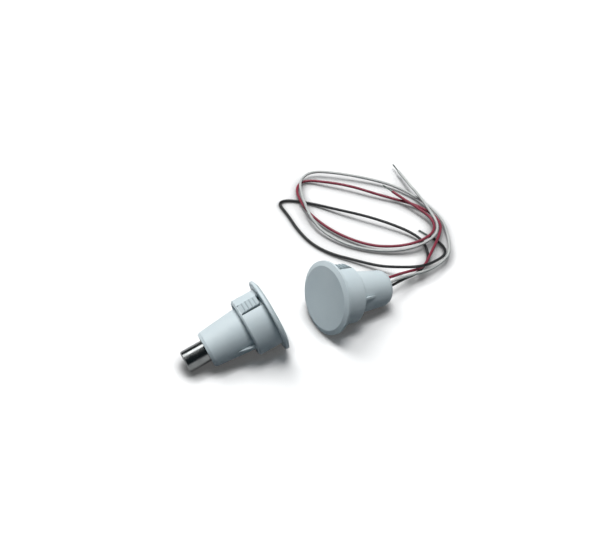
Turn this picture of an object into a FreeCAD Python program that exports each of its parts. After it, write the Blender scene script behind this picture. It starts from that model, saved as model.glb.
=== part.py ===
import FreeCAD, Part
import math
import os

# Recessed magnetic door contact with three leads: a switch half and a magnet half, each pushed from the
# front into a 25.4 mm hole, one in the frame and one in the door. Both halves are the same moulding.
# They lie on a table, each on the edge of its flange and the rear edge of its core tube, and the leads
# of the switch half lie beside it in open loops. Millimetres, Z up, the table at Z = 0.

# The moulding, measured along its own axis from the front face
hole_diameter = 25.4
barrel_clearance = 0.1
flange_diameter = 31.75
flange_thickness = 2.2
flange_bevel_width = 2.0
flange_bevel_depth = 0.9
flange_edge_chamfer = 0.3
skirt_end = 13.0
skirt_wall = 1.5
skirt_chamfer = 0.7
core_root_diameter = 19.0
core_tip_diameter = 15.8
core_chamfer_length = 1.2
core_chamfer_width = 0.6
housing_length = 31.2
front_wall = 3.0
bore_diameter = 12.4
crush_rib_count = 4
crush_rib_width = 1.2
crush_rib_length = 18.0
crush_rib_lead_in = 1.2
gusset_count = 2
gusset_width = 1.0
gusset_start = 6.0
gusset_overhang = 7.4

# Snap-lock fingers in the skirt: root at the rear, free end just behind the flange
finger_count = 2
finger_width = 4.4
finger_slot_width = 0.6
finger_wall = 1.4
finger_flare = 0.35
finger_root_band = 1.0
tooth_count = 5
tooth_pitch = 1.7
tooth_height = 0.8
root_overlap = 0.4
cutter_overrun = 0.5

# Magnet and its resin
magnet_diameter = 9.52
magnet_length = 38.1
magnet_chamfer = 0.5
adhesive_length = 21.0

# Change-over reed capsule
reed_inset = 2.5
glass_diameter = 2.54
glass_length = 14.7
glass_wall = 0.32
glass_seal_length = 1.9
glass_end_taper = 0.5
lead_diameter = 0.5
blade_thickness = 0.2
blade_width = 1.0
contact_gap = 0.15
contact_overlap = 1.5
contact_flat_length = 2.6
blade_end_gap = 0.1
weld_depth = 0.08
lead_inset = 0.5
lead_neck = 0.7
lead_splay = 2.4
lead_splay_length = 1.5
lead_tail = 1.7
lead_fold_corner = 0.7
sleeve_wall = 0.48
sleeve_setback = 0.6
lead_sleeve_wall = 0.3
solder_diameter = 1.7
solder_end_diameter = 0.8
solder_length = 3.0
solder_lap = 1.3
solder_taper = 0.8
reed_roll = 57.0

# Leads and potting
wire_diameter = 1.3
wire_end_diameter = 0.66
wire_end_length = 6.0
potting_recess = 0.6
arc_share = 0.45

# Where the halves lie: middle of the front face, heading of the rear end, roll of the first finger
switch_face = (14.36, 5.47)
switch_heading = 32.5
switch_finger_roll = 63.0
magnet_face = (-7.14, -4.53)
magnet_heading = 209.3
magnet_finger_roll = 89.5

# Routes of the leads. The first two points are across the bore, up the bore and along the axis of the
# switch half, the others are on the table side: X, Y, Z.
red_start = [(1.31, 2.01), (1.3, 4.7)]
white_start = [(-2.01, 1.31), (0.2, 3.1)]
black_start = [(-1.31, -2.01), (-0.6, 0.9)]
start_run = 10.0

white_route = [
    (52.5, 31.5, 6.2), (60, 36, 4.5), (66, 41.5, 3.7), (71.5, 48.5, 3.5),
    (72, 60, 2.9), (70, 73, 2.6), (63.5, 83.5, 2.3), (56, 91, 2.1),
    (46, 97.5, 2.2), (32.5, 101, 2.9), (18.5, 103, 3.4), (6.5, 104, 2.9),
    (1, 97.5, 2.7), (1.5, 87.5, 4), (4.5, 75.5, 4.9), (7.5, 67.5, 4.4),
    (13, 60.5, 2.7), (23.5, 54, 1.7), (35, 51, 1.4), (46.5, 50.5, 2.1),
    (57, 52.5, 3.7), (65.5, 60, 3.8), (67.5, 68.5, 3.7), (63, 79, 4.3),
    (58.5, 88.5, 4.5), (54, 97, 4), (49.5, 107, 3.2)]
red_route = [
    (51, 33, 6.5), (59, 39, 3.6), (62.5, 48, 3.2), (67.5, 61.5, 3.1),
    (69, 70, 2.6), (65, 78, 2.3), (56.5, 84, 2), (49, 86.5, 2),
    (38, 89.5, 2.7), (26, 93.5, 3.4), (14, 96.5, 2.7), (2.5, 99, 1.1),
    (-1, 91.5, 1.7), (2, 80.5, 2.8), (6.5, 72.5, 2.6), (15.5, 64, 1.8),
    (25.5, 57.5, 1.8), (36.5, 53, 2.3), (47.5, 52.5, 3.2), (58, 55.5, 4),
    (65.5, 63, 4), (65, 72.5, 3.5), (57.5, 80, 3.8), (50.5, 86, 4),
    (46, 89.5, 4.7)]
black_route = [
    (50.5, 31.5, 4), (56.5, 36.5, 2.4), (62.5, 47, 1.5), (60.5, 58.5, 1.7),
    (53.5, 64, 2.6), (42.5, 68.5, 3.6), (31, 72.5, 3.8), (19, 77, 2.5),
    (9, 81.5, 1), (-0.5, 83.5, 0.8), (-5.5, 83.5, 0.8), (-8.5, 81.5, 0.8),
    (-7, 78, 0.8), (-3.5, 72.5, 0.8), (1, 63.5, 0.7), (7.5, 54.5, 0.7),
    (16.5, 48, 0.9), (27.5, 44, 1.6), (39, 39.5, 2.7), (48.5, 36.5, 5.8),
    (56.5, 36, 7.1), (62.5, 39.5, 6.3), (69.5, 48.5, 3), (70, 54.5, 1.9),
    (66.5, 60.5, 0.9), (63, 63.5, 0.7)]

# Values worked out from the sizes above
barrel_radius = hole_diameter / 2 - barrel_clearance
flange_radius = flange_diameter / 2
skirt_inner_radius = barrel_radius - skirt_wall
core_root_radius = core_root_diameter / 2
core_tip_radius = core_tip_diameter / 2
bore_radius = bore_diameter / 2
magnet_radius = magnet_diameter / 2
lead_radius = lead_diameter / 2
glass_radius = glass_diameter / 2
wire_radius = wire_diameter / 2
core_chamfer_start = housing_length - core_chamfer_length
finger_root = skirt_end - finger_root_band
rim_end = flange_thickness - flange_edge_chamfer
tilt = math.degrees(math.atan2(flange_radius - core_tip_radius, core_chamfer_start - rim_end))
sin_tilt = math.sin(math.radians(tilt))
cos_tilt = math.cos(math.radians(tilt))
face_height = flange_radius * cos_tilt + rim_end * sin_tilt
reed_front = front_wall + reed_inset

V = FreeCAD.Vector
Z_AXIS = V(0, 0, 1)
ORIGIN = V(0, 0, 0)


def rounded_edges(points, radii, closed):
    """Lines through the points, joined by tangent arcs of the given radii (0 keeps a sharp corner)."""
    count = len(points)
    entry = []
    leave = []
    middle = []
    for i in range(count):
        inner = closed or 0 < i < count - 1
        if not inner or not radii[i]:
            entry.append(points[i])
            leave.append(points[i])
            middle.append(None)
            continue
        back = (points[i - 1] - points[i]).normalize()
        ahead = (points[(i + 1) % count] - points[i]).normalize()
        half_turn = (math.pi - back.getAngle(ahead)) / 2
        reach = radii[i] * math.tan(half_turn)
        bisector = (back + ahead).normalize()
        depth = radii[i] / math.cos(half_turn) - radii[i]
        entry.append(points[i] + back * reach)
        leave.append(points[i] + ahead * reach)
        middle.append(points[i] + bisector * depth)
    edges = []
    for i in range(count):
        if middle[i] is not None:
            edges.append(Part.Arc(entry[i], middle[i], leave[i]).toShape())
        if i < count - 1 or closed:
            following = entry[(i + 1) % count]
            if (following - leave[i]).Length > 1e-6:
                edges.append(Part.LineSegment(leave[i], following).toShape())
    return edges


def profile_face(corners):
    """Face in the XZ plane from (radius, height) or (radius, height, corner radius)."""
    points = [V(corner[0], 0, corner[1]) for corner in corners]
    radii = [corner[2] if len(corner) > 2 else 0 for corner in corners]
    return Part.Face(Part.Wire(rounded_edges(points, radii, True)))


def turned(corners):
    """Solid of revolution about the Z axis."""
    return profile_face(corners).revolve(ORIGIN, Z_AXIS, 360)


def fin(corners, width, roll):
    """Flat fin of the given width that stands on a radius, turned to its roll angle."""
    shape = profile_face(corners)
    shape.translate(V(0, -width / 2, 0))
    shape = shape.extrude(V(0, width, 0))
    shape.rotate(ORIGIN, Z_AXIS, roll)
    return shape


def rod(radius, start, end):
    """Cylinder on the Z axis between two heights."""
    return Part.makeCylinder(radius, end - start, V(0, 0, start))


def tube_along(points, radii, radius):
    """Round solid along straight runs and tangent arcs; a bend without a radius is mitred."""
    path = Part.Wire(rounded_edges(points, radii, False))
    direction = (points[1] - points[0]).normalize()
    section = Part.Wire(Part.makeCircle(radius, points[0], direction))
    mitred = 1
    return path.makePipeShell([section], True, False, mitred), path


def finger_profile():
    """Snap-lock finger cut lengthwise: ratchet teeth outside and a wall that leans out to the free end."""
    corners = [(skirt_inner_radius, skirt_end), (barrel_radius - skirt_chamfer, skirt_end)]
    corners += [(barrel_radius, skirt_end - skirt_chamfer), (barrel_radius, finger_root)]
    for tooth in range(1, tooth_count + 1):
        valley = barrel_radius + finger_flare * tooth / tooth_count
        crest = finger_root - tooth * tooth_pitch
        corners.append((valley + tooth_height, crest))
        if tooth < tooth_count:
            corners.append((valley, crest))
    corners += [(valley - finger_wall, crest), (skirt_inner_radius, finger_root)]
    return corners


def moulding(finger_roll):
    """One half's housing: flange, hollow skirt with snap-lock fingers, core tube and ribs."""
    body = turned([
        (0, 0), (flange_radius - flange_bevel_width, 0), (flange_radius, flange_bevel_depth),
        (flange_radius, rim_end), (flange_radius - flange_edge_chamfer, flange_thickness),
        (barrel_radius, flange_thickness), (barrel_radius, skirt_end - skirt_chamfer),
        (barrel_radius - skirt_chamfer, skirt_end), (skirt_inner_radius, skirt_end),
        (skirt_inner_radius, flange_thickness), (core_root_radius, flange_thickness),
        (core_root_radius, skirt_end), (core_tip_radius, core_chamfer_start),
        (core_tip_radius - core_chamfer_width, housing_length), (bore_radius, housing_length),
        (bore_radius, front_wall), (0, front_wall)])

    window_width = finger_width + 2 * finger_slot_width
    window_depth = skirt_inner_radius - cutter_overrun
    outside = flange_radius + cutter_overrun
    window = [(window_depth, flange_thickness), (outside, flange_thickness)]
    window += [(outside, finger_root), (window_depth, finger_root)]
    finger_ring = turned(finger_profile())
    slab = [(window_depth, 0), (outside, 0), (outside, skirt_end), (window_depth, skirt_end)]
    for i in range(finger_count):
        roll = finger_roll + 360 / finger_count * i
        body = body.cut(fin(window, window_width, roll))
        body = body.fuse(finger_ring.common(fin(slab, finger_width, roll)))

    core_sink = core_root_radius - root_overlap
    gusset = [(core_sink, gusset_start), (skirt_inner_radius + root_overlap, gusset_start)]
    gusset += [(skirt_inner_radius + root_overlap, skirt_end - skirt_chamfer)]
    gusset += [(skirt_inner_radius, skirt_end), (core_sink, skirt_end + gusset_overhang)]
    for i in range(gusset_count):
        roll = finger_roll + 90 + 360 / gusset_count * i
        body = body.fuse(fin(gusset, gusset_width, roll))

    rib_end = front_wall + crush_rib_length
    rib_root = bore_radius + root_overlap
    rib_tip = magnet_radius - root_overlap
    rib = [(rib_tip, front_wall), (rib_root, front_wall), (rib_root, rib_end)]
    rib += [(bore_radius, rib_end), (rib_tip, rib_end - crush_rib_lead_in)]
    for i in range(crush_rib_count):
        roll = finger_roll + 45 + 360 / crush_rib_count * i
        body = body.fuse(fin(rib, crush_rib_width, roll).cut(rod(magnet_radius, 0, housing_length)))
    return body.removeSplitter()


def lying(face, heading):
    """Placement of a half on the table: its axis leaves the front face along the heading, rear end down."""
    angle = math.radians(heading)
    axis = V(math.cos(angle) * cos_tilt, math.sin(angle) * cos_tilt, -sin_tilt)
    across = V(-math.sin(angle), math.cos(angle), 0)
    rotation = FreeCAD.Rotation(across, axis.cross(across), axis, "ZXY")
    return FreeCAD.Placement(V(face[0], face[1], face_height), rotation)


def placed(shape, place):
    """Copy of a shape from the moulding's own frame, moved to where its half lies."""
    result = shape.copy()
    result.Placement = place.multiply(shape.Placement)
    return result


def magnet_half():
    """Housing, bar magnet and the resin ring that holds it, in the moulding's own frame."""
    housing = moulding(magnet_finger_roll)
    tip = front_wall + magnet_length
    magnet = turned([
        (0, front_wall), (magnet_radius - magnet_chamfer, front_wall),
        (magnet_radius, front_wall + magnet_chamfer), (magnet_radius, tip - magnet_chamfer),
        (magnet_radius - magnet_chamfer, tip), (0, tip)])
    adhesive = rod(bore_radius, front_wall, front_wall + adhesive_length).cut(housing).cut(magnet)
    return {"magnet_housing": housing, "magnet": magnet, "magnet_adhesive": adhesive}


def reed_switch():
    """Change-over reed: glass, blades with their leads, sleeves and solder joints."""
    glass_end = reed_front + glass_length
    cavity_radius = glass_radius - glass_wall
    cavity_start = reed_front + glass_seal_length
    cavity_end = glass_end - glass_seal_length
    shoulder = glass_radius - glass_end_taper
    capsule = turned([
        (0, reed_front), (shoulder, reed_front), (glass_radius, reed_front + glass_end_taper),
        (glass_radius, glass_end - glass_end_taper), (shoulder, glass_end), (0, glass_end)])
    glass = capsule.cut(rod(cavity_radius, cavity_start, cavity_end))

    # contacts: the closed one touches the blade through its plate, the open one stands a gap away
    contact_face = blade_thickness / 2 + contact_gap
    contact_back = contact_face + blade_thickness
    lead_x = contact_back - weld_depth + lead_radius
    contact_tip = cavity_end - contact_flat_length
    blade_tip = contact_tip + contact_overlap
    blade_start = cavity_start + blade_end_gap
    lead_end = glass_end + lead_neck + lead_splay_length + lead_tail

    def contact():
        flat = Part.makeBox(blade_thickness, blade_width, contact_flat_length - blade_end_gap,
                            V(contact_face, -blade_width / 2, contact_tip))
        route = [V(lead_x, 0, cavity_end - lead_inset), V(lead_x, 0, glass_end + lead_neck)]
        route += [V(lead_splay, 0, glass_end + lead_neck + lead_splay_length)]
        route += [V(lead_splay, 0, lead_end)]
        return flat.fuse(tube_along(route, [0, 0, 0, 0], lead_radius)[0]).removeSplitter()

    closed_contact = contact()
    open_contact = contact()
    open_contact.rotate(ORIGIN, Z_AXIS, 180)
    plate = Part.makeBox(contact_gap, blade_width, contact_overlap,
                         V(blade_thickness / 2, -blade_width / 2, contact_tip))

    # common blade, its lead bent back past the front end of the glass
    fold_front = reed_front - lead_neck
    fold = [V(0, 0, cavity_start + lead_inset), V(0, 0, fold_front)]
    fold += [V(0, lead_fold_corner, fold_front - lead_fold_corner)]
    fold += [V(0, lead_splay - lead_fold_corner, fold_front - lead_fold_corner)]
    fold += [V(0, lead_splay, fold_front), V(0, lead_splay, lead_end)]
    lead = tube_along(fold, [0] * len(fold), lead_radius)[0]
    blade = Part.makeBox(blade_thickness, blade_width, blade_tip - blade_start,
                         V(-blade_thickness / 2, -blade_width / 2, blade_start))
    common = blade.fuse(lead).removeSplitter()

    glass = glass.cut(common).cut(closed_contact).cut(open_contact)
    sleeve_radius = glass_radius + sleeve_wall
    sleeve_start = reed_front + sleeve_setback
    sleeve_end = glass_end - sleeve_setback
    sleeve = rod(sleeve_radius, sleeve_start, sleeve_end)
    sleeve = sleeve.cut(rod(glass_radius, reed_front, glass_end))
    solder_start = lead_end - solder_lap
    lead_sleeve = rod(lead_radius + lead_sleeve_wall, reed_front, solder_start)
    lead_sleeve = lead_sleeve.cut(rod(lead_radius, 0, housing_length))
    lead_sleeve.translate(V(0, lead_splay, 0))

    solder_end = solder_start + solder_length
    solder = turned([
        (0, solder_start), (solder_end_diameter / 2, solder_start),
        (solder_diameter / 2, solder_start + solder_taper),
        (solder_diameter / 2, solder_end - solder_taper),
        (solder_end_diameter / 2, solder_end), (0, solder_end)])
    pieces = {
        "reed_glass": glass, "reed_common_blade": common, "reed_closed_contact": closed_contact,
        "reed_open_contact": open_contact, "reed_closed_plate": plate, "reed_sleeve": sleeve,
        "common_lead_sleeve": lead_sleeve}
    seats = {"red": (0, closed_contact), "white": (90, common), "black": (180, open_contact)}
    for colour, (roll, joined) in seats.items():
        bead = solder.copy()
        bead.translate(V(lead_splay, 0, 0))
        bead.rotate(ORIGIN, Z_AXIS, roll)
        pieces[colour + "_solder_joint"] = bead.cut(joined)
    for shape in pieces.values():
        shape.rotate(ORIGIN, Z_AXIS, reed_roll)
    capsule.rotate(ORIGIN, Z_AXIS, reed_roll)
    return pieces, capsule, solder_end


def wire(colour, start, route, start_height):
    """Insulated lead along its route and its stripped end."""
    points = []
    for i, (across, up) in enumerate(start):
        points.append(switch_place.multVec(V(across, up, start_height + i * start_run)))
    points += [V(*point) for point in route]
    runs = [(points[i + 1] - points[i]).Length for i in range(len(points) - 1)]
    radii = [0]
    for i in range(1, len(points) - 1):
        turn = math.pi - (points[i - 1] - points[i]).getAngle(points[i + 1] - points[i])
        radii.append(arc_share * min(runs[i - 1], runs[i]) / math.tan(turn / 2))
    radii.append(0)
    solid, path = tube_along(points, radii, wire_radius)
    section = math.pi * wire_radius ** 2
    print(colour, "length %.1f mm, volume ratio %.4f" % (path.Length, solid.Volume / (section * path.Length)))
    print("  radii", " ".join("%.1f" % radius for radius in radii[1:-1]))
    direction = (points[-1] - points[-2]).normalize()
    end = Part.makeCylinder(wire_end_diameter / 2, wire_end_length, points[-1], direction)
    return {colour + "_wire": solid, colour + "_wire_end": end}


magnet_place = lying(magnet_face, magnet_heading)
switch_place = lying(switch_face, switch_heading)
pieces = {}
for name, shape in magnet_half().items():
    pieces[name] = placed(shape, magnet_place)

switch_housing = moulding(switch_finger_roll)
reed_pieces, capsule, wire_start = reed_switch()
for colour, start, route in (("white", white_start, white_route), ("red", red_start, red_route),
                             ("black", black_start, black_route)):
    pieces.update(wire(colour, start, route, wire_start))

potting = rod(bore_radius, front_wall, housing_length - potting_recess).cut(switch_housing)
for shape in [capsule] + list(reed_pieces.values()):
    potting = potting.cut(shape)
potting = placed(potting, switch_place)
for colour in ("white", "red", "black"):
    potting = potting.cut(pieces[colour + "_wire"])
pieces["potting"] = potting
pieces["switch_housing"] = placed(switch_housing, switch_place)
for name, shape in reed_pieces.items():
    pieces[name] = placed(shape, switch_place)
for colour in ("white", "red", "black"):
    joint = colour + "_solder_joint"
    pieces[joint] = pieces[joint].cut(pieces[colour + "_wire"])

os.makedirs("parts", exist_ok=True)
for name, shape in pieces.items():
    shape.exportStep("parts/" + name + ".step")
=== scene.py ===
import math

import bpy
import numpy as np
from mathutils import Matrix, Vector


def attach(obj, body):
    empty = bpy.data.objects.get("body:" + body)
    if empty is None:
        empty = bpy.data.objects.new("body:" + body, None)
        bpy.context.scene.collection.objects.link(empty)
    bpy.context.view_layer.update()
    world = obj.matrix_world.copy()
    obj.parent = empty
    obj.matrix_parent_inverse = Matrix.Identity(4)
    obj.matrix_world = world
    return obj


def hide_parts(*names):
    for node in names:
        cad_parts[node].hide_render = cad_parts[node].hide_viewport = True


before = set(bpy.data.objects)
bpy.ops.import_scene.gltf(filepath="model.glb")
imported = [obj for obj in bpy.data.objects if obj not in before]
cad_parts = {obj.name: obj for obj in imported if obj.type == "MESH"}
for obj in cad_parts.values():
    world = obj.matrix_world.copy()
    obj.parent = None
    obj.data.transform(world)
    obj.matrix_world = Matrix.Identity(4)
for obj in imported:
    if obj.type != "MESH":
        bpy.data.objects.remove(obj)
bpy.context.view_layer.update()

# Housings of both halves: one white injection-moulded plastic body with flange, hollow skirt,
# snap-lock fingers and core tube. The mould leaves a faint orange-peel skin and slightly uneven gloss.

grain_detail = 3
drift_detail = 4
drift_low, drift_high = 0.35, 0.65
skin_height = 0.0002
shade_samples = 8


def new_material(name, metallic=0.0):
    """Material with one Principled shader, metal or not; returns it with its nodes, links and shader."""
    material = bpy.data.materials.new(name)
    material.use_nodes = True
    nodes, links = material.node_tree.nodes, material.node_tree.links
    shader = nodes["Principled BSDF"]
    shader.inputs["Metallic"].default_value = metallic
    return material, nodes, links, shader


def mixed(nodes, links, mask, kind, first, second):
    """Mix node of the given kind between two values, by a mask. A value is plain or an output socket."""
    mix = nodes.new("ShaderNodeMix")
    mix.data_type = kind
    for label, value in (("A", first), ("B", second)):
        if isinstance(value, bpy.types.NodeSocket):
            links.new(value, mix.inputs[label])
        else:
            mix.inputs[label].default_value = value
    links.new(mask, mix.inputs["Factor"])
    return mix.outputs["Result"]


def fine_skin_group():
    """Skin of a moulded, cast or drawn surface: a fine even height, and one slow noise that carries both the
    roughness between its two limits and the colour between a fresh and a dulled tone."""
    group = bpy.data.node_groups.new("fine skin", "ShaderNodeTree")
    for label in ("Grain", "Drift", "Roughness Low", "Roughness High"):
        group.interface.new_socket(label, in_out="INPUT", socket_type="NodeSocketFloat")
    for label in ("Fresh", "Dulled"):
        group.interface.new_socket(label, in_out="INPUT", socket_type="NodeSocketColor")
    for label in ("Height", "Roughness"):
        group.interface.new_socket(label, in_out="OUTPUT", socket_type="NodeSocketFloat")
    group.interface.new_socket("Colour", in_out="OUTPUT", socket_type="NodeSocketColor")
    nodes, links = group.nodes, group.links
    given, put = nodes.new("NodeGroupInput"), nodes.new("NodeGroupOutput")
    place = nodes.new("ShaderNodeTexCoord")
    noises = {}
    for label, detail in (("Grain", grain_detail), ("Drift", drift_detail)):
        noise = nodes.new("ShaderNodeTexNoise")
        noise.inputs["Detail"].default_value = detail
        links.new(place.outputs["Object"], noise.inputs["Vector"])
        links.new(given.outputs[label], noise.inputs["Scale"])
        noises[label] = noise.outputs["Fac"]
    drift = nodes.new("ShaderNodeMapRange")
    drift.inputs["From Min"].default_value = drift_low
    drift.inputs["From Max"].default_value = drift_high
    links.new(noises["Drift"], drift.inputs["Value"])
    amount = drift.outputs["Result"]
    low, high = given.outputs["Roughness Low"], given.outputs["Roughness High"]
    fresh, dulled = given.outputs["Fresh"], given.outputs["Dulled"]
    links.new(noises["Grain"], put.inputs["Height"])
    links.new(mixed(nodes, links, amount, "FLOAT", low, high), put.inputs["Roughness"])
    links.new(mixed(nodes, links, amount, "RGBA", fresh, dulled), put.inputs["Colour"])
    return group


fine_skin = fine_skin_group()


def add_fine_skin(nodes, links, shader, grain, drift, roughness, fresh, dulled, bump):
    """Joins the skin group to a shader: grain and drift per metre, the lowest and highest roughness, the
    fresh and the dulled colour, and the strength of the grain's bump. Returns the group's node."""
    skin = nodes.new("ShaderNodeGroup")
    skin.node_tree = fine_skin
    skin.inputs["Grain"].default_value = grain
    skin.inputs["Drift"].default_value = drift
    skin.inputs["Roughness Low"].default_value, skin.inputs["Roughness High"].default_value = roughness
    skin.inputs["Fresh"].default_value = (*fresh, 1)
    skin.inputs["Dulled"].default_value = (*dulled, 1)
    relief = nodes.new("ShaderNodeBump")
    relief.inputs["Strength"].default_value = bump
    relief.inputs["Distance"].default_value = skin_height
    links.new(skin.outputs["Height"], relief.inputs["Height"])
    links.new(relief.outputs["Normal"], shader.inputs["Normal"])
    links.new(skin.outputs["Roughness"], shader.inputs["Roughness"])
    links.new(skin.outputs["Colour"], shader.inputs["Base Color"])
    return skin


def add_painted_recess_shade(nodes, links, shader, skin, painted_shade_colour, reach):
    """Paints shade into the skin's colour: darker in grooves and inner corners, as far as the reach from the
    next wall.
    """
    recess = nodes.new("ShaderNodeAmbientOcclusion")
    recess.inputs["Distance"].default_value = reach
    recess.samples = shade_samples
    recess.only_local = True
    shade = mixed(nodes, links, recess.outputs["AO"], "RGBA", (*painted_shade_colour, 1), skin.outputs["Colour"])
    links.new(shade, shader.inputs["Base Color"])


housing_white, nodes, links, shader = new_material("housing white")
skin = add_fine_skin(nodes, links, shader, grain=1400, drift=90, roughness=(0.45, 0.52),
                     fresh=(0.71, 0.80, 0.83), dulled=(0.67, 0.765, 0.80), bump=0.12)
# Painted shade: the housings' colour is darkened in their grooves, slots and inner corners, where shade
# falls.
add_painted_recess_shade(nodes, links, shader, skin, painted_shade_colour=(0.17, 0.215, 0.235), reach=0.0008)
for node_name in ("magnet_housing", "switch_housing"):
    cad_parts[node_name].data.materials[0] = housing_white

# Bar magnet: a nickel-plated rod pressed between the ribs of the bore, with fine marks round it from
# the centreless grinding before it was plated. A ring of grey resin, poured round its front part, holds it.

magnet_heading = math.radians(209.3)
magnet_drop = math.radians(15.84)
magnet_axis = (math.cos(magnet_heading) * math.cos(magnet_drop),
               math.sin(magnet_heading) * math.cos(magnet_drop), -math.sin(magnet_drop))
grinding_marks_per_metre = 6000
grinding_mark_depth = 0.00002
grinding_mark_strength = 0.25

magnet_nickel, nodes, links, shader = new_material("magnet nickel", metallic=1.0)
add_fine_skin(nodes, links, shader, grain=2500, drift=260, roughness=(0.16, 0.24),
              fresh=(0.18, 0.187, 0.187), dulled=(0.145, 0.15, 0.15), bump=0.05)
place = nodes.new("ShaderNodeTexCoord")
along = nodes.new("ShaderNodeVectorMath")
along.operation = "DOT_PRODUCT"
along.inputs[1].default_value = magnet_axis
marks = nodes.new("ShaderNodeTexNoise")
marks.noise_dimensions = "1D"
marks.inputs["Scale"].default_value = grinding_marks_per_metre
marks_bump = nodes.new("ShaderNodeBump")
marks_bump.inputs["Strength"].default_value = grinding_mark_strength
marks_bump.inputs["Distance"].default_value = grinding_mark_depth
links.new(place.outputs["Object"], along.inputs[0])
links.new(along.outputs["Value"], marks.inputs["W"])
links.new(marks.outputs["Fac"], marks_bump.inputs["Height"])
links.new(marks_bump.outputs["Normal"], shader.inputs["Normal"])
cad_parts["magnet"].data.materials[0] = magnet_nickel

ring_resin, nodes, links, shader = new_material("ring resin")
add_fine_skin(nodes, links, shader, grain=700, drift=300, roughness=(0.35, 0.6),
              fresh=(0.12, 0.125, 0.125), dulled=(0.08, 0.09, 0.09), bump=0.3)
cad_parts["magnet_adhesive"].data.materials[0] = ring_resin

# Reed switch, sealed in the potting: a greenish glass capsule with plated nickel-iron blades, a soft sleeve
# round it, a thin sleeve on the folded lead, and a solder joint to each of the three leads.

reed_metal, nodes, links, shader = new_material("reed metal", metallic=1.0)
add_fine_skin(nodes, links, shader, grain=6000, drift=900, roughness=(0.3, 0.45),
              fresh=(0.56, 0.55, 0.52), dulled=(0.46, 0.45, 0.42), bump=0.1)
contact_plating, nodes, links, shader = new_material("contact plating", metallic=1.0)
add_fine_skin(nodes, links, shader, grain=6000, drift=900, roughness=(0.25, 0.4),
              fresh=(0.62, 0.62, 0.62), dulled=(0.5, 0.5, 0.5), bump=0.1)
soft_sleeve, nodes, links, shader = new_material("soft sleeve")
add_fine_skin(nodes, links, shader, grain=2500, drift=400, roughness=(0.42, 0.58),
              fresh=(0.5, 0.5, 0.48), dulled=(0.42, 0.42, 0.4), bump=0.2)
solder, nodes, links, shader = new_material("solder", metallic=1.0)
add_fine_skin(nodes, links, shader, grain=3000, drift=1500, roughness=(0.22, 0.5),
              fresh=(0.55, 0.56, 0.57), dulled=(0.42, 0.43, 0.44), bump=0.3)
capsule_glass, nodes, links, shader = new_material("capsule glass")
add_fine_skin(nodes, links, shader, grain=1200, drift=300, roughness=(0.02, 0.05),
              fresh=(0.74, 0.84, 0.74), dulled=(0.7, 0.8, 0.7), bump=0.02)
shader.inputs["Transmission Weight"].default_value = 1
reed_finishes = {
    "reed_common_blade": reed_metal, "reed_open_contact": reed_metal, "reed_closed_contact": reed_metal,
    "reed_closed_plate": contact_plating, "reed_glass": capsule_glass,
    "reed_sleeve": soft_sleeve, "common_lead_sleeve": soft_sleeve,
    "white_solder_joint": solder, "red_solder_joint": solder, "black_solder_joint": solder}
for node_name, finish in reed_finishes.items():
    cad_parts[node_name].data.materials[0] = finish

# Potting: dark resin poured round the reed capsule and the soldered leads, to just short of the bore's
# end. It sets glossy, with a slightly wavy skin and duller patches.

potting_resin, nodes, links, shader = new_material("potting resin")
add_fine_skin(nodes, links, shader, grain=450, drift=220, roughness=(0.22, 0.42),
              fresh=(0.03, 0.033, 0.035), dulled=(0.045, 0.048, 0.05), bump=0.4)
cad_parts["potting"].data.materials[0] = potting_resin

# Leads: three vinyl-covered stranded wires, 1.3 mm thick, soldered to the reed inside the potting. They
# leave the back of the switch half side by side and lie in loose open loops, crossing each other. The
# points of their routes are in millimetres.

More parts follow.
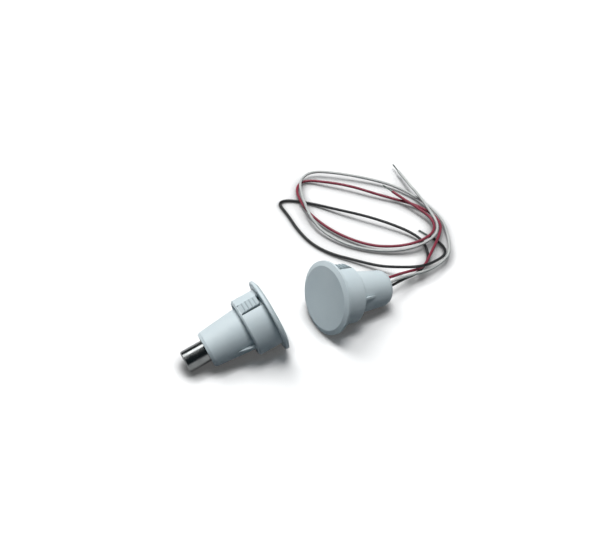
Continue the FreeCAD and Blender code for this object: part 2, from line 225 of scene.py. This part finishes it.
lead_diameter = 0.0013
lead_curve_steps = 10
lead_bevel_steps = 5
millimetres_per_metre = 1000
lead_fresh_colours = {
    "white": (0.62, 0.64, 0.62), "red": (0.29, 0.028, 0.056), "black": (0.007, 0.008, 0.009)}
lead_dulled_colours = {
    "white": (0.53, 0.55, 0.54), "red": (0.24, 0.026, 0.05), "black": (0.014, 0.015, 0.016)}
lead_points = {
    "white": [
        (36.674, 17.303, 10.007), (44.013, 24.598, 8.999),
        (52.5, 31.5, 6.2), (60, 36, 4.5), (66, 41.5, 3.7), (71.5, 48.5, 3.5),
        (72, 60, 2.9), (70, 73, 2.6), (63.5, 83.5, 2.3), (56, 91, 2.1),
        (46, 97.5, 2.2), (32.5, 101, 2.9), (18.5, 103, 3.4), (6.5, 104, 2.9),
        (1, 97.5, 2.7), (1.5, 87.5, 4), (4.5, 75.5, 4.9), (7.5, 67.5, 4.4),
        (13, 60.5, 2.7), (23.5, 54, 1.7), (35, 51, 1.4), (46.5, 50.5, 2.1),
        (57, 52.5, 3.7), (65.5, 60, 3.8), (67.5, 68.5, 3.7), (63, 79, 4.3),
        (58.5, 88.5, 4.5), (54, 97, 4), (49.5, 107, 3.2)],
    "red": [
        (35.052, 20.205, 10.68), (43.79, 25.76, 10.538),
        (51, 33, 6.5), (59, 39, 3.6), (62.5, 48, 3.2), (67.5, 61.5, 3.1),
        (69, 70, 2.6), (65, 78, 2.3), (56.5, 84, 2), (49, 86.5, 2),
        (38, 89.5, 2.7), (26, 93.5, 3.4), (14, 96.5, 2.7), (2.5, 99, 1.1),
        (-1, 91.5, 1.7), (2, 80.5, 2.8), (6.5, 72.5, 2.6), (15.5, 64, 1.8),
        (25.5, 57.5, 1.8), (36.5, 53, 2.3), (47.5, 52.5, 3.2), (58, 55.5, 4),
        (65.5, 63, 4), (65, 72.5, 3.5), (57.5, 80, 3.8), (50.5, 86, 4),
        (46, 89.5, 4.7)],
    "black": [
        (35.534, 17.406, 6.813), (43.936, 23.601, 6.882),
        (50.5, 31.5, 4), (56.5, 36.5, 2.4), (62.5, 47, 1.5), (60.5, 58.5, 1.7),
        (53.5, 64, 2.6), (42.5, 68.5, 3.6), (31, 72.5, 3.8), (19, 77, 2.5),
        (9, 81.5, 1), (-0.5, 83.5, 0.8), (-5.5, 83.5, 0.8), (-8.5, 81.5, 0.8),
        (-7, 78, 0.8), (-3.5, 72.5, 0.8), (1, 63.5, 0.7), (7.5, 54.5, 0.7),
        (16.5, 48, 0.9), (27.5, 44, 1.6), (39, 39.5, 2.7), (48.5, 36.5, 5.8),
        (56.5, 36, 7.1), (62.5, 39.5, 6.3), (69.5, 48.5, 3), (70, 54.5, 1.9),
        (66.5, 60.5, 0.9), (63, 63.5, 0.7)]}


def lead_curve(name, points):
    """Round rod along a quadratic NURBS line that starts and ends on its first and last points."""
    curve = bpy.data.curves.new(name, "CURVE")
    curve.dimensions = "3D"
    curve.resolution_u = lead_curve_steps
    curve.bevel_depth = lead_diameter / 2
    curve.bevel_resolution = lead_bevel_steps
    curve.use_fill_caps = True
    spline = curve.splines.new("NURBS")
    spline.points.add(len(points) - 1)
    placed = np.column_stack([np.array(points) / millimetres_per_metre, np.ones(len(points))])
    spline.points.foreach_set("co", placed.ravel())
    spline.order_u = 3
    spline.use_endpoint_u = True
    lead = bpy.data.objects.new(name, curve)
    bpy.context.scene.collection.objects.link(lead)
    return lead


for colour, points in lead_points.items():
    vinyl, nodes, links, shader = new_material(colour + " vinyl")
    add_fine_skin(nodes, links, shader, grain=2600, drift=160, roughness=(0.38, 0.52),
                  fresh=lead_fresh_colours[colour], dulled=lead_dulled_colours[colour], bump=0.1)
    lead = lead_curve(colour + "_lead", points)
    lead.data.materials.append(vinyl)
    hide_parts(colour + "_wire")
    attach(lead, "root")

# Stripped ends of the leads: the vinyl is cut back by 6 mm and bares seven tinned copper strands in a slow
# twist. They open a little towards the tip, where they were cut unevenly.

strand_count = 7
strand_radius = 0.00011
strand_lay = 0.009
strand_opening = 0.25
strand_unevenness = 0.0002
strand_sections = 40
strand_sides = 8
bare_length = 0.006
hidden_length = 0.001


def strand_bundle(name, end, direction):
    """Tubes along a direction: the middle one straight, each other on a helix two strand radii off it, which
    widens with the cube of the bared share. A tube's points are a cosine and a sine round its centre."""
    along = np.linspace(-hidden_length, bare_length, strand_sections)
    bared = np.clip(along / bare_length, 0, 1)
    around = np.linspace(0, 2 * math.pi, strand_sides, endpoint=False)
    side = np.array(Vector(direction).orthogonal().normalized())
    other = np.cross(direction, side)
    ring = np.cos(around)[:, None] * side + np.sin(around)[:, None] * other
    row, column = np.meshgrid(np.arange(strand_sections - 1), np.arange(strand_sides), indexing="ij")
    next_column = (column + 1) % strand_sides
    quads = np.stack([
        row * strand_sides + column, row * strand_sides + next_column,
        (row + 1) * strand_sides + next_column, (row + 1) * strand_sides + column], axis=-1).reshape(-1, 4)
    start_cap = np.arange(strand_sides)[::-1]
    tip_cap = (strand_sections - 1) * strand_sides + np.arange(strand_sides)
    tubes, faces = [], []
    for strand in range(strand_count):
        off_middle = 0 if strand == 0 else 2 * strand_radius
        turn = 2 * math.pi * (strand / (strand_count - 1) + along / strand_lay)
        shortened = along - strand_unevenness * (strand % 3) * bared
        radius = off_middle * (1 + strand_opening * bared ** 3)
        centre = end + shortened[:, None] * direction
        centre = centre + radius[:, None] * (np.cos(turn)[:, None] * side + np.sin(turn)[:, None] * other)
        tube = (centre[:, None] + strand_radius * ring[None]).reshape(-1, 3)
        first = strand * len(tube)
        faces += (first + quads).tolist()
        faces.append((first + start_cap).tolist())
        faces.append((first + tip_cap).tolist())
        tubes.append(tube)
    mesh = bpy.data.meshes.new(name)
    mesh.from_pydata(np.concatenate(tubes).tolist(), [], faces)
    mesh.polygons.foreach_set("use_smooth", [len(face) == 4 for face in faces])
    bundle = bpy.data.objects.new(name, mesh)
    bpy.context.scene.collection.objects.link(bundle)
    return bundle


tinned_copper, nodes, links, shader = new_material("tinned copper", metallic=1.0)
add_fine_skin(nodes, links, shader, grain=5000, drift=700, roughness=(0.32, 0.5),
              fresh=(0.2, 0.23, 0.22), dulled=(0.15, 0.175, 0.165), bump=0.2)

for colour, points in lead_points.items():
    last = np.array(points[-1]) / millimetres_per_metre
    direction = last - np.array(points[-2]) / millimetres_per_metre
    direction = direction / np.linalg.norm(direction)
    strands = strand_bundle(colour + "_strands", last, direction)
    strands.data.materials.append(tinned_copper)
    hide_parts(colour + "_wire_end")
    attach(strands, "root")

# Table, lamps and camera: a plain white table with a painted shadow close to what lies on it, and a pale
# backdrop all round, under two large soft lamps, one overhead and one behind on the left. The camera looks
# down at 45 degrees, as in the photograph.

table_half_width = 3
table_roughness = 0.9
table_bounce = (0.072, 0.088, 0.105)
table_glow_near, table_glow_far = 0.09, 0.9
glow_rise_start, glow_rise_end = 0.2, 1.0
painted_shadow_reach = 0.006
plain_white = (1, 1, 1, 1)
room_colour = (0.6, 0.85, 1)
room_strength = 0.05
backdrop_top_low, backdrop_top_high = math.sin(math.radians(9)), math.sin(math.radians(15))


def background_ray(nodes, links):
    """Mask of the rays that see the background: 1 for camera, glossy and transmission rays, else 0."""
    ray = nodes.new("ShaderNodeLightPath")
    seen = ray.outputs["Is Camera Ray"]
    for kind in ("Is Glossy Ray", "Is Transmission Ray"):
        larger = nodes.new("ShaderNodeMath")
        larger.operation = "MAXIMUM"
        links.new(seen, larger.inputs[0])
        links.new(ray.outputs[kind], larger.inputs[1])
        seen = larger.outputs[0]
    return seen


def stepped(nodes, links, value, limits, results):
    """Value of a smooth ramp: the first result below the first limit, the second above the second."""
    ramp = nodes.new("ShaderNodeMapRange")
    ramp.interpolation_type = "SMOOTHSTEP"
    ramp.inputs["From Min"].default_value, ramp.inputs["From Max"].default_value = limits
    ramp.inputs["To Min"].default_value, ramp.inputs["To Max"].default_value = results
    links.new(value, ramp.inputs["Value"])
    return ramp.outputs["Result"]


def product(nodes, links, first, second):
    """Product of two values."""
    times = nodes.new("ShaderNodeMath")
    times.operation = "MULTIPLY"
    links.new(first, times.inputs[0])
    links.new(second, times.inputs[1])
    return times.outputs[0]


corners = [(-table_half_width, -table_half_width, 0), (table_half_width, -table_half_width, 0),
           (table_half_width, table_half_width, 0), (-table_half_width, table_half_width, 0)]
table_mesh = bpy.data.meshes.new("table")
table_mesh.from_pydata(corners, [], [(0, 1, 2, 3)])
table = bpy.data.objects.new("table", table_mesh)
bpy.context.scene.collection.objects.link(table)
table_white, nodes, links, shader = new_material("table white")
shader.inputs["Roughness"].default_value = table_roughness
shader.inputs["Specular IOR Level"].default_value = 0
shader.inputs["Emission Color"].default_value = plain_white
seen = background_ray(nodes, links)
place = nodes.new("ShaderNodeTexCoord")
distance = nodes.new("ShaderNodeVectorMath")
distance.operation = "LENGTH"
links.new(place.outputs["Object"], distance.inputs[0])
glow = stepped(nodes, links, distance.outputs["Value"], (glow_rise_start, glow_rise_end),
               (table_glow_near, table_glow_far))
links.new(product(nodes, links, seen, glow), shader.inputs["Emission Strength"])
# Painted shadow: the table's colour darkens within a few millimetres of what stands or lies on it.
contact = nodes.new("ShaderNodeAmbientOcclusion")
contact.inputs["Distance"].default_value = painted_shadow_reach
contact.samples = shade_samples
painted_contact_shadow = product(nodes, links, contact.outputs["AO"], contact.outputs["AO"])
table_colour = mixed(nodes, links, seen, "RGBA", (*table_bounce, 1), painted_contact_shadow)
links.new(table_colour, shader.inputs["Base Color"])
table.data.materials.append(table_white)

world = bpy.data.worlds.new("room")
world.use_nodes = True
nodes, links = world.node_tree.nodes, world.node_tree.links
sky = nodes["Background"]
place = nodes.new("ShaderNodeTexCoord")
height = nodes.new("ShaderNodeSeparateXYZ")
links.new(place.outputs["Generated"], height.inputs["Vector"])
backdrop = stepped(nodes, links, height.outputs["Z"], (backdrop_top_low, backdrop_top_high), (1, 0))
pale = product(nodes, links, background_ray(nodes, links), backdrop)
links.new(mixed(nodes, links, pale, "RGBA", (*room_colour, 1), plain_white), sky.inputs["Color"])
links.new(mixed(nodes, links, pale, "FLOAT", room_strength, 1), sky.inputs["Strength"])
bpy.context.scene.world = world


def soft_lamp(name, place, aim, width, watts):
    """Square area lamp turned towards the point it lights."""
    data = bpy.data.lights.new(name, "AREA")
    data.shape = "SQUARE"
    data.size = width
    data.energy = watts
    lamp = bpy.data.objects.new(name, data)
    lamp.location = place
    lamp.rotation_euler = (Vector(aim) - Vector(place)).to_track_quat("-Z", "Y").to_euler()
    bpy.context.scene.collection.objects.link(lamp)


look_at = Vector((0.00536, 0.03747, 0))
soft_lamp("lamp overhead", place=(0.05, 0.08, 2.4), aim=look_at, width=0.9, watts=33)
soft_lamp("lamp behind left", place=(-0.8, 0.92, 2.08), aim=look_at, width=1.2, watts=30)

camera_data = bpy.data.cameras.new("camera")
camera_data.sensor_fit = "HORIZONTAL"
camera_data.sensor_width = 36
camera_data.lens = 62.17
camera_data.clip_start = 0.01
camera = bpy.data.objects.new("camera", camera_data)
bpy.context.scene.collection.objects.link(camera)
camera_place = Vector((0.00536, -0.29922, 0.33739))
camera_roll = math.radians(2.83)
backwards = (camera_place - look_at).normalized()
level_right = Vector((0, 0, 1)).cross(backwards).normalized()
level_up = backwards.cross(level_right)
right = level_right * math.cos(camera_roll) + level_up * math.sin(camera_roll)
up = level_up * math.cos(camera_roll) - level_right * math.sin(camera_roll)
camera.matrix_world = Matrix.Translation(camera_place) @ Matrix((right, up, backwards)).transposed().to_4x4()
bpy.context.scene.camera = camera

bpy.context.scene.view_settings.view_transform = "Standard"
